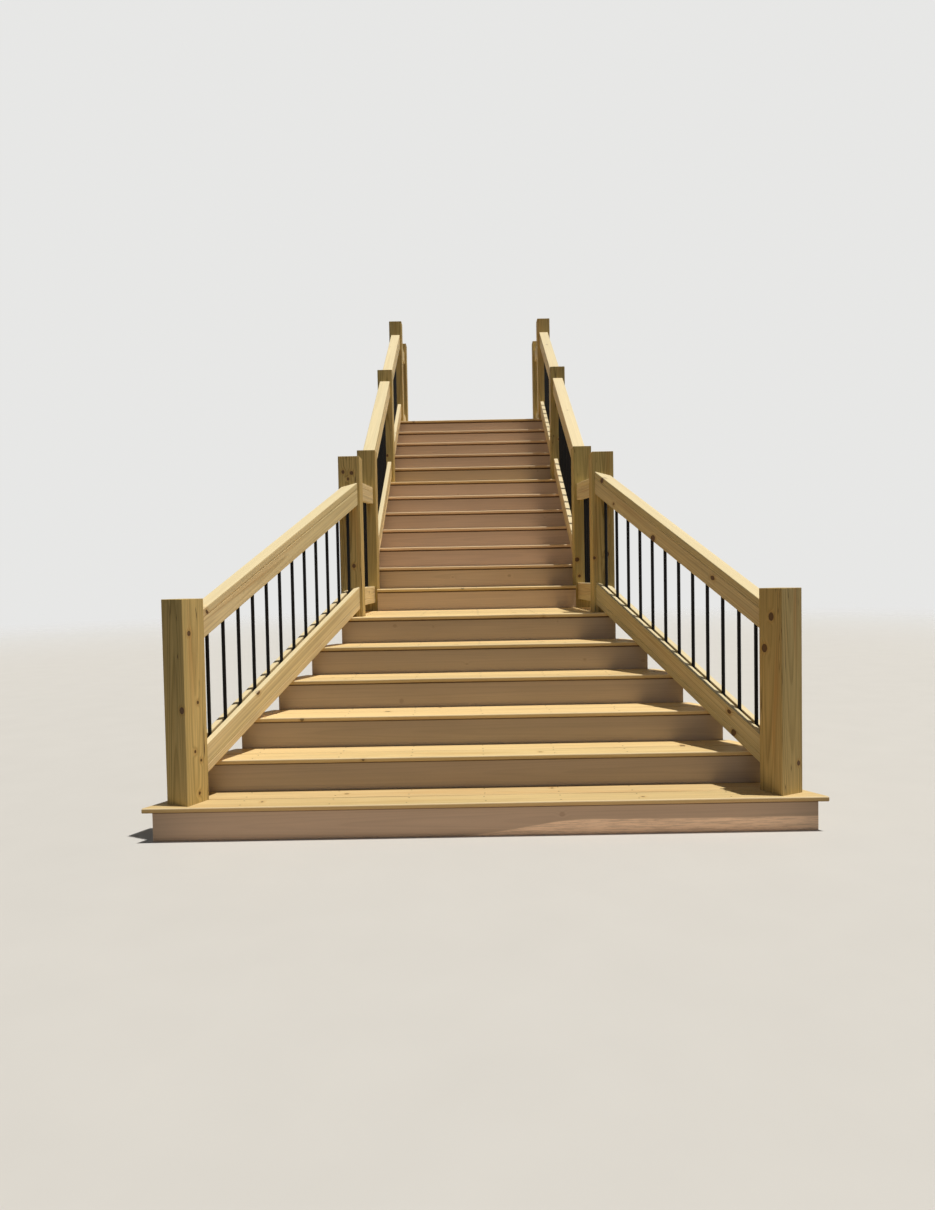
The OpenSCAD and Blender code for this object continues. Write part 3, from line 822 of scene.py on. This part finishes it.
def growth_rings(g, log, gap, ring, wave):
    """Dark summer wood of the growth rings, which bulge round the branches."""
    length, across, deep = g.split(log)
    radius = g.vector("LENGTH", g.join(across, deep, 0.0))
    bend = g.times(g.less(g.noise(log, (0.55, 5.5, 5.5), 2.0, 0.4), 0.5), wave)
    quiver = g.times(g.less(g.noise(log, (4, 28, 28), 1.0), 0.5), wave * 0.16)
    bulge = g.math("POWER", g.fade(gap, -0.010, 0.034, 1.0, 0.0), 2.0)
    grown = g.add(g.add(radius, bend), g.math("MULTIPLY_ADD", bulge, 0.008, quiver))
    pace = g.noise(g.join(grown, 0.0, 0.0), (34, 1, 1), 1.0)
    count = g.math("MULTIPLY_ADD", pace, 2.2, g.math("DIVIDE", grown, ring))
    year = g.math("FRACT", count)
    by_year = g.node("TexWhiteNoise", {"W": g.math("FLOOR", count)}, noise_dimensions="1D").outputs["Value"]
    return g.times(g.ramp(year, YEAR), g.math("MULTIPLY_ADD", by_year, 0.7, 0.3))


def with_knots(g, color, gap, strength):
    """Paints the branches: a warm halo, rings inside and a dark rim. Returns the colour and the inside."""
    inside = g.fade(gap, -0.0015, 0.0005, 1.0, 0.0)
    rim = g.fade(g.math("ABSOLUTE", g.add(gap, 0.0008)), 0.0, 0.0026, 1.0, 0.0)
    halo = g.fade(gap, 0.0, 0.016, 0.45, 0.0)
    core = g.mix(g.math("FRACT", g.math("DIVIDE", gap, 0.0028)), *KNOT_RINGS)
    color = g.mix(g.times(halo, strength), color, KNOT_HALO)
    color = g.mix(g.times(inside, 0.92 * strength), color, core)
    return g.mix(g.times(rim, 0.8 * strength), color, KNOT_BARK), inside


def with_checks(g, log, color, height, strength):
    """Opens short drying cracks along the grain. Returns the colour and the height."""
    split = g.noise(log, (0.7, 34, 34), 2.0)
    where = g.noise(log, (1.5, 12, 12), 0.0)
    crack = g.fade(g.math("ABSOLUTE", g.less(split, 0.5)), 0.0, 0.010, 1.0, 0.0)
    crack = g.times(crack, g.fade(where, 0.54, 0.64, 0.0, strength))
    return g.mix(crack, color, CHECK), g.less(height, g.times(crack, 3.0))


def with_sawdust(g, color, strength):
    """Strews sawdust round the foot of the right first post."""
    place = object_place(g)
    chips = g.node("TexVoronoi", {"Vector": place, "Scale": 150.0}).outputs["Distance"]
    foot = g.vector("DISTANCE", place, SAWDUST_AT)
    dust = g.times(g.fade(foot, 0.08, 0.42, strength, 0.0), g.fade(chips, 0.16, 0.26, 1.0, 0.0))
    return g.mix(dust, color, SAWDUST)


def with_painted_board_light(g, color, facing, end, nose, strength):
    """Paints shade on the sides and the underside of a board, and a highlight on the upper front edge of a
    nose.
    """
    across, back, upward = g.split(facing)
    # painted shade on the long sides of a board
    side = g.times(g.fade(g.math("ABSOLUTE", upward), 0.15, 0.75, strength, 0.0), g.less(1.0, end))
    color = g.mix(side, color, g.mix(0.75, color, PAINTED_SIDE_SHADE))
    # painted shade on the underside of a board
    color = g.mix(g.fade(upward, -0.15, -0.45, 0.0, 0.9), color, PAINTED_UNDERSIDE_SHADE)
    # painted highlight along the upper front edge of a nose board, on its front only
    nose_highlight = g.times(g.fade(upward, 0.05, 0.25, 0.0, 1.0), g.fade(upward, 0.92, 0.99, 1.0, 0.0))
    nose_highlight = g.times(g.times(nose_highlight, nose), g.fade(back, -0.10, 0.0, 0.6, 0.0))
    return g.mix(nose_highlight, color, PAINTED_NOSE_HIGHLIGHT)


def sawn_pine(name, early, late, ring=0.006, wave=0.014, line=0.7, streak=0.3, green=0.1, orange=0.35,
              checks=0.0, bump=0.25, flecks=0.0, knots=1.0, edge=0.0, painted_top_light=0.0):
    """Softwood cut from a log: growth rings round the pith, knots, fibres, checks and end grain. What can be
    set is the width and wander of the rings, and the strength of each of the other marks. The edge mark
    paints shade on a board's sides and underside and a highlight on a nose's top edge, and the last one
    paints light on faces that look up."""
    g = Graph(bpy.data.materials.new(name))
    log = g.attribute("log")
    lightness, greenness, nose = g.split(g.attribute("tone"))
    gap = knot_distance(g, log)
    summer = growth_rings(g, log, gap, ring, wave)
    patchy = g.fade(g.noise(log, (0.5, 14, 14), 1.0), 0.3, 0.7, 0.35, 1.0)
    summer = g.times(g.times(summer, patchy), line)
    fibre = g.noise(log, (9, 480, 480), 3.0, 0.6)
    streaks = g.noise(log, (2.0, 120, 120), 3.0, 0.65)
    bands = g.noise(log, (0.8, 38, 38), 2.0, 0.6)

    color = g.mix(summer, early, late)
    resin = g.fade(g.noise(log, (1.1, 17, 17), 2.0), 0.54, 0.74, 0.0, orange)
    color = g.mix(resin, color, g.mix(0.65, color, RESIN))
    treated = g.fade(g.noise(log, (0.5, 6, 6), 1.0), 0.3, 0.7, 0.3, 1.0)
    color = g.mix(g.times(treated, g.times(greenness, green)), color, TREATMENT)
    shade = g.times(g.swing(fibre, 0.22), g.swing(streaks, streak * 1.6))
    shade = g.times(shade, g.times(g.swing(bands, streak), g.swing(lightness, 0.26)))
    color = g.shaded(color, shade)
    color, inside = with_knots(g, color, gap, knots)

    height = g.math("MULTIPLY_ADD", summer, 0.5, g.times(fibre, 0.5))
    if checks:
        color, height = with_checks(g, log, color, height, checks)
    if flecks:
        color = with_sawdust(g, color, flecks)

    # end grain drinks more and looks darker
    facing = g.node("NewGeometry").outputs["Normal"]
    grain = g.attribute("grain")
    end = g.fade(g.math("ABSOLUTE", g.vector("DOT_PRODUCT", facing, grain)), 0.5, 0.8)
    color = g.mix(g.times(end, 0.12), color, g.mix(0.6, color, END_GRAIN))
    # painted shade on a board's sides and underside, and a painted highlight on a nose's top edge
    if edge:
        color = with_painted_board_light(g, color, facing, end, nose, edge)
    # painted light on faces that look up
    if painted_top_light:
        color = g.mix(g.fade(g.split(facing)[2], 0.5, 0.75, 0.0, painted_top_light), color, PAINTED_UPWARD_LIGHT)
    rough = g.math("MULTIPLY_ADD", g.less(fibre, 0.5), 0.2, g.math("MULTIPLY_ADD", inside, -0.16, 0.64))
    return g.finish(color, rough, height, bump, 0.0008, Specular_IOR_Level=0.25)


def painted_sun_patch(g, place):
    """A painted patch of grazing sunlight on the foot of the first riser, higher towards the right."""
    x, y, z = g.split(place)
    slant = g.fade(x, -0.25, 0.55, -0.012, 0.064)
    high = g.math("MULTIPLY_ADD", g.noise(place, (2.5, 2.5, 2.5), 2.0), 0.016, slant)
    low = g.fade(g.less(z, high), -0.004, 0.004, 1.0, 0.0)
    return g.times(low, g.fade(g.noise(place, (5, 5, 90), 4.0, 0.8), 0.36, 0.58, 0.35, 1.0))


def stained_board(name, stain):
    """Solid stain brushed over pine: the grain, the knots and the brush marks show faintly through it. A
    shadow is painted right under each nose, and a patch of grazing sunlight on the foot of the first riser."""
    g = Graph(bpy.data.materials.new(name))
    log = g.attribute("log")
    place = object_place(g)
    z = g.split(place)[2]
    lightness = g.split(g.attribute("tone"))[0]
    gap = knot_distance(g, log)
    summer = growth_rings(g, log, gap, ring=0.007, wave=0.020)
    brush = g.noise(log, (3, 260, 260), 3.0, 0.6)
    streaks = g.noise(log, (1.1, 75, 75), 2.0, 0.6)
    cloud = g.noise(log, (1.6, 8, 8), 3.0)
    shade = g.times(g.swing(brush, 0.12), g.times(g.swing(streaks, 0.16), g.swing(cloud, 0.22)))
    shade = g.times(shade, g.times(g.swing(lightness, 0.08), g.math("MULTIPLY_ADD", summer, -0.10, 1.0)))
    color = g.shaded(stain, shade)
    color = g.mix(g.fade(gap, -0.003, 0.004, 0.25, 0.0), color, KNOT_UNDER_STAIN)
    # painted patch of grazing sunlight on the foot of the first riser
    sun_patch_and_wear = painted_sun_patch(g, place)
    color = g.mix(sun_patch_and_wear, color, PAINTED_SUNLIGHT)
    # painted shadow along the top of each riser, right under the nose
    level = g.times(g.math("FRACT", g.times(z, 1 / RISE)), RISE)
    board_foot = RISE - BOARD_T
    color = g.mix(g.fade(level, board_foot - 0.010, board_foot - 0.004, 0.0, 0.95), color, PAINTED_NOSE_SHADOW)
    dust = g.times(g.fade(z, 0.0, 0.05, 0.35, 0.0), g.noise(place, (12, 12, 90), 3.0))
    color = g.mix(dust, color, EARTH_DUST)
    return g.finish(color, 0.66, g.add(brush, g.times(sun_patch_and_wear, 0.8)), 0.18, 0.0006, Specular_IOR_Level=0.2)


def black_coat(name):
    """Satin black powder coat with a fine orange peel and a little dust."""
    g = Graph(bpy.data.materials.new(name))
    place = object_place(g)
    peel = g.noise(place, (900, 900, 900), 1.0)
    dust = g.noise(place, (25, 25, 5), 3.0)
    color = g.mix(g.fade(dust, 0.45, 0.8, 0.0, 0.25), rgb(0.006, 0.0055, 0.005), rgb(0.03, 0.025, 0.02))
    rough = g.math("MULTIPLY_ADD", dust, 0.2, 0.34)
    return g.finish(color, rough, peel, 0.06, 0.0003, Specular_IOR_Level=0.12)


def coated_screw(name):
    """Dull tan coating, rubbed through to the metal here and there."""
    g = Graph(bpy.data.materials.new(name))
    sun_patch_and_wear = g.noise(object_place(g), (220, 220, 220), 2.0)
    color = g.mix(sun_patch_and_wear, rgb(0.16, 0.12, 0.06), rgb(0.30, 0.25, 0.14))
    return g.finish(color, 0.45, sun_patch_and_wear, 0.1, 0.0002, Metallic=0.6)


DECK = sawn_pine("deck_board_pine", rgb(0.85, 0.63, 0.315), rgb(0.60, 0.38, 0.145), line=0.65, green=0.15,
                 bump=0.2, flecks=0.9, knots=0.7, edge=0.22)
WARM_DECK = sawn_pine("heartwood_board_pine", rgb(0.90, 0.66, 0.42), rgb(0.64, 0.39, 0.19), line=0.6,
                      green=0.0, bump=0.2, knots=0.6, edge=0.15)
POST = sawn_pine("post_pine", rgb(0.66, 0.49, 0.205), rgb(0.27, 0.165, 0.05), ring=0.008, wave=0.010,
                 line=0.9, streak=0.40, green=0.25, orange=0.6, checks=0.9)
RAIL = sawn_pine("rail_plank_pine", rgb(0.88, 0.72, 0.43), rgb(0.52, 0.35, 0.15), ring=0.007, wave=0.010,
                 line=0.8, streak=0.34, green=0.3, painted_top_light=0.55)
FRAMING = sawn_pine("framing_pine", rgb(0.60, 0.45, 0.20), rgb(0.38, 0.26, 0.10), line=0.6, green=0.6)
LOWER_STAIN = stained_board("grey_brown_stain", rgb(0.56, 0.455, 0.36))
UPPER_STAIN = stained_board("warm_brown_stain", rgb(0.66, 0.53, 0.435))
BLACK = black_coat("black_powder_coat")
SCREW = coated_screw("coated_deck_screw")

# Treads of the upper flight with the warmer boards
HEARTWOOD_TREADS = (8, 9, 10, 11, 12, 14, 15, 16, 17)

# Treads, decks and risers
for k in (*range(1, PLATFORM_STEP), *range(UPPER_FIRST, LANDING_STEP)):
    tread = Piece(f"tread_{k}", "deck_pine", WARM_DECK if k in HEARTWOOD_TREADS else DECK, SCREW)
    half = riser_half(k) + (0 if k == UPPER_FIRST else OVERHANG)
    half_at = slanted_half if k <= LOWER_STEPS else lambda y: half
    lines = LOWER_LINES if k <= LOWER_STEPS else UPPER_LINES
    notches = [notch_at(MIDDLE_POST_Y)] if k == MIDDLE_STEP else []
    boards(tread, step_y(k), k * RISE, half_at, TREAD_BOARDS, notches, lines)
    tread.build()

for name, y, top, count, notches in (
        ("platform_deck", PLATFORM_Y, PLATFORM_Z, PLATFORM_BOARDS,
         [notch_at(PLATFORM_POST_Y, PLATFORM_CLEAR)]),
        ("landing_deck", LANDING_Y, LANDING_Z, LANDING_BOARDS,
         [notch_at(LANDING_POST_Y), notch_at(WALL_POST_Y)])):
    deck = Piece(name, "deck_pine", DECK, SCREW)
    boards(deck, y, top, lambda y: HALF_DECK, count, notches, UPPER_LINES)
    deck.build()

for name, stain, steps in (("lower_risers", LOWER_STAIN, range(1, UPPER_FIRST)),
                           ("upper_risers", UPPER_STAIN, range(UPPER_FIRST, LANDING_STEP + 1))):
    risers = Piece(name, "riser_paint", stain)
    for k in steps:
        riser(risers, k)
    risers.build()

# Framing
for name, make in (("lower_stringers", lower_stringers), ("upper_stringers", upper_stringers)):
    stringers = Piece(name, "frame_pine", FRAMING)
    make(stringers)
    stringers.build()
for name, front_y, end_y, top, clear in (
        ("platform_frame", PLATFORM_Y, UPPER_Y + RISER_T + PLANK_H, PLATFORM_Z, PLATFORM_CLEAR),
        ("landing_frame", LANDING_Y, BACK_Y, LANDING_Z, HALF_CLEAR)):
    under_deck = Piece(name, "frame_pine", FRAMING)
    deck_frame(under_deck, front_y, end_y, top, clear)
    under_deck.build()

# Posts
first_posts = Piece("first_posts", "post_pine", POST)
for side, matrix in SIDES.items():
    # painted light on the left post, painted shade on the right one
    first_posts.shade = PAINTED_SHADE_BY_SIDE[side]
    first_post(first_posts, matrix, FIRST_POST_KNOTS[side])
first_posts.build()
for name, y, top, clear in (
        ("platform_posts", PLATFORM_POST_Y, PLATFORM_Z + PLATFORM_POST_H, PLATFORM_CLEAR),
        ("foot_posts", FOOT_POST_Y, PLATFORM_Z + RISE + FOOT_POST_H, HALF_CLEAR),
        ("middle_posts", MIDDLE_POST_Y, MIDDLE_STEP * RISE + MIDDLE_POST_H, HALF_CLEAR),
        ("landing_posts", LANDING_POST_Y, LANDING_Z + LANDING_POST_H, HALF_CLEAR),
        ("wall_posts", WALL_POST_Y, LANDING_Z + WALL_POST_H, HALF_CLEAR)):
    pair = Piece(name, "post_pine", POST)
    for side, matrix in SIDES.items():
        post(pair, y, top, matrix, clear, POST_KNOTS.get((name, side)))
    pair.build()

# Railings
lower = Piece("lower_rails", "rail_pine", RAIL)
stretch = 1 + RAIL_W * math.tan(TURN) / LOWER_LEN
mitre = [(ALONG_LOWER.inverted() @ Vector((0, PLATFORM_POST_Y, 0)), ALONG_LOWER.inverted().to_3x3() @ BACK)]
for side, matrix in SIDES.items():
    on_top, on_foot = LOWER_RAIL_KNOTS[side]
    # painted light on the left rails, painted shade on the right ones
    lower.shade = PAINTED_SHADE_BY_SIDE[side]
    at = matrix @ ALONG_LOWER
    top_rail(lower, LOWER_LEN * stretch, LOWER_CLIMB[side] * stretch, LOWER_TOP, at, mitre, on_top)
    bottom_rail(lower, LOWER_LEN * stretch, LOWER_FOOT_CLIMB * stretch, LOWER_FOOT_TOP, at, mitre, on_foot)
lower.build()
for side, matrix in SIDES.items():
    rods = Piece(f"lower_balusters_{side}", "baluster_black", BLACK)
    baluster_row(rods, matrix @ ALONG_LOWER, places_from_end(LOWER_LEN), LOWER_LEN, LOWER_CLIMB[side],
                 LOWER_TOP, LOWER_FOOT_CLIMB, LOWER_FOOT_TOP)
    rods.build()

for names, y, length, climb, top, foot_climb, foot_top in BAYS:
    places = {side: matrix @ Matrix.Translation((POST_X, y, 0)) for side, matrix in SIDES.items()}
    rails = Piece(names.format("rails"), "rail_pine", RAIL)
    for at in places.values():
        top_rail(rails, length, climb, top, at)
        bottom_rail(rails, length, foot_climb, foot_top, at)
    rails.build()
    for side, at in places.items():
        rods = Piece(f"{names.format('balusters')}_{side}", "baluster_black", BLACK)
        baluster_row(rods, at, even_places(length), length, climb, top, foot_climb, foot_top)
        rods.build()


# Floor, light and camera
FLOOR_SIZE = 80


def pale_floor():
    """Pale floor that fades into the background, and throws back warm light only in front of the stairs."""
    g = Graph(bpy.data.materials.new("pale_floor"))
    place = object_place(g)
    x, y, z = g.split(place)
    far = g.fade(g.vector("LENGTH", g.vector("MULTIPLY", place, (1, 0.8, 0))), 7.0, 24.0)
    pale = g.mix(g.noise(place, (3, 3, 3), 4.0), rgb(0.62, 0.61, 0.595), rgb(0.66, 0.65, 0.635))
    within = g.fade(g.math("ABSOLUTE", x), 1.3, 1.9, 1.0, 0.0)
    before = g.fade(g.math("ABSOLUTE", g.add(y, 3.3)), 0.3, 0.9, 1.0, 0.0)
    bounce = g.mix(g.times(within, before), rgb(0.14, 0.12, 0.09), rgb(0.86, 0.68, 0.52))
    shader = g.node("BsdfPrincipled", {"Base Color": g.mix(g.seen(), bounce, pale), "Roughness": 0.8})
    blend = g.node("MixShader", {0: far, 1: shader.outputs[0], 2: g.node("BsdfTransparent").outputs[0]})
    g.tree.links.new(blend.outputs[0], g.node("OutputMaterial").inputs[0])
    return g.owner


def soft_room():
    """Dim even light, behind which the camera, gloss and glass see a pale backdrop."""
    g = Graph(bpy.data.worlds.new("soft_room"))
    room = g.node("Background", {0: rgb(1.0, 0.97, 0.93), 1: 0.042}).outputs[0]
    backdrop = g.node("Background", {0: rgb(0.80, 0.80, 0.79), 1: 1.0}).outputs[0]
    blend = g.node("MixShader", {0: g.seen(), 1: room, 2: backdrop})
    g.tree.links.new(blend.outputs[0], g.node("OutputWorld").inputs[0])
    return g.owner


def lamp(name, strength, color, spread, toward):
    """Distant lamp that stands in a direction from the stairs, with its spread in degrees."""
    light = bpy.data.lights.new(name, "SUN")
    light.energy = strength
    light.color = color
    light.angle = math.radians(spread)
    stand = bpy.data.objects.new(name, light)
    bpy.context.scene.collection.objects.link(stand)
    stand.rotation_euler = Vector(toward).to_track_quat("Z", "Y").to_euler()


bpy.ops.mesh.primitive_plane_add(size=FLOOR_SIZE, location=(0, 0, 0))
floor = bpy.context.object
floor.name = "floor"
floor.data.materials.append(pale_floor())

bpy.context.scene.world = soft_room()
lamp("high_key", strength=3.3, color=(1.0, 0.96, 0.88), spread=0.7, toward=(0.185, -0.03, 1.0))
lamp("side_fill", strength=0.60, color=(1.0, 0.95, 0.88), spread=30, toward=(1.0, 0.35, 0.06))
lamp("front_fill", strength=0.115, color=(0.93, 0.97, 1.05), spread=50, toward=(0.05, -1.0, 0.40))

# The photograph's camera: its place from the middle of the first riser, its turns, and its lens in pixels of
# a picture 1210 px high
EYE = (-0.0576, -3.7723, 1.2444)
YAW, PITCH, ROLL = 0.0024601, 0.0337882, -0.0186110
PHOTO_H, FOCAL_PX, SHIFT_PX = 1210, 782.524, 2
SENSOR_H = 36
FAR_CLIP = 200


def camera_turn():
    """The camera's axes: right and up on the picture, and back towards the viewer."""
    cp, sp, cr, sr = math.cos(PITCH), math.sin(PITCH), math.cos(ROLL), math.sin(ROLL)
    yaw = Matrix(((math.cos(YAW), math.sin(YAW), 0), (-math.sin(YAW), math.cos(YAW), 0), (0, 0, 1)))
    right = yaw.transposed() @ Vector((cr, sr * sp, sr * cp))
    up = yaw.transposed() @ Vector((-sr, cr * sp, cr * cp))
    ahead = yaw.transposed() @ Vector((0, cp, -sp))
    return Matrix((right, up, -ahead)).transposed().to_4x4()


lens = bpy.data.cameras.new("camera")
lens.sensor_fit = "VERTICAL"
lens.sensor_height = SENSOR_H
lens.lens = FOCAL_PX * SENSOR_H / PHOTO_H
lens.shift_y = SHIFT_PX / PHOTO_H
lens.clip_end = FAR_CLIP
camera = bpy.data.objects.new("camera", lens)
bpy.context.scene.collection.objects.link(camera)
camera.matrix_world = PLACE @ Matrix.Translation(EYE) @ camera_turn()
bpy.context.scene.camera = camera
bpy.context.scene.view_settings.view_transform = "Standard"
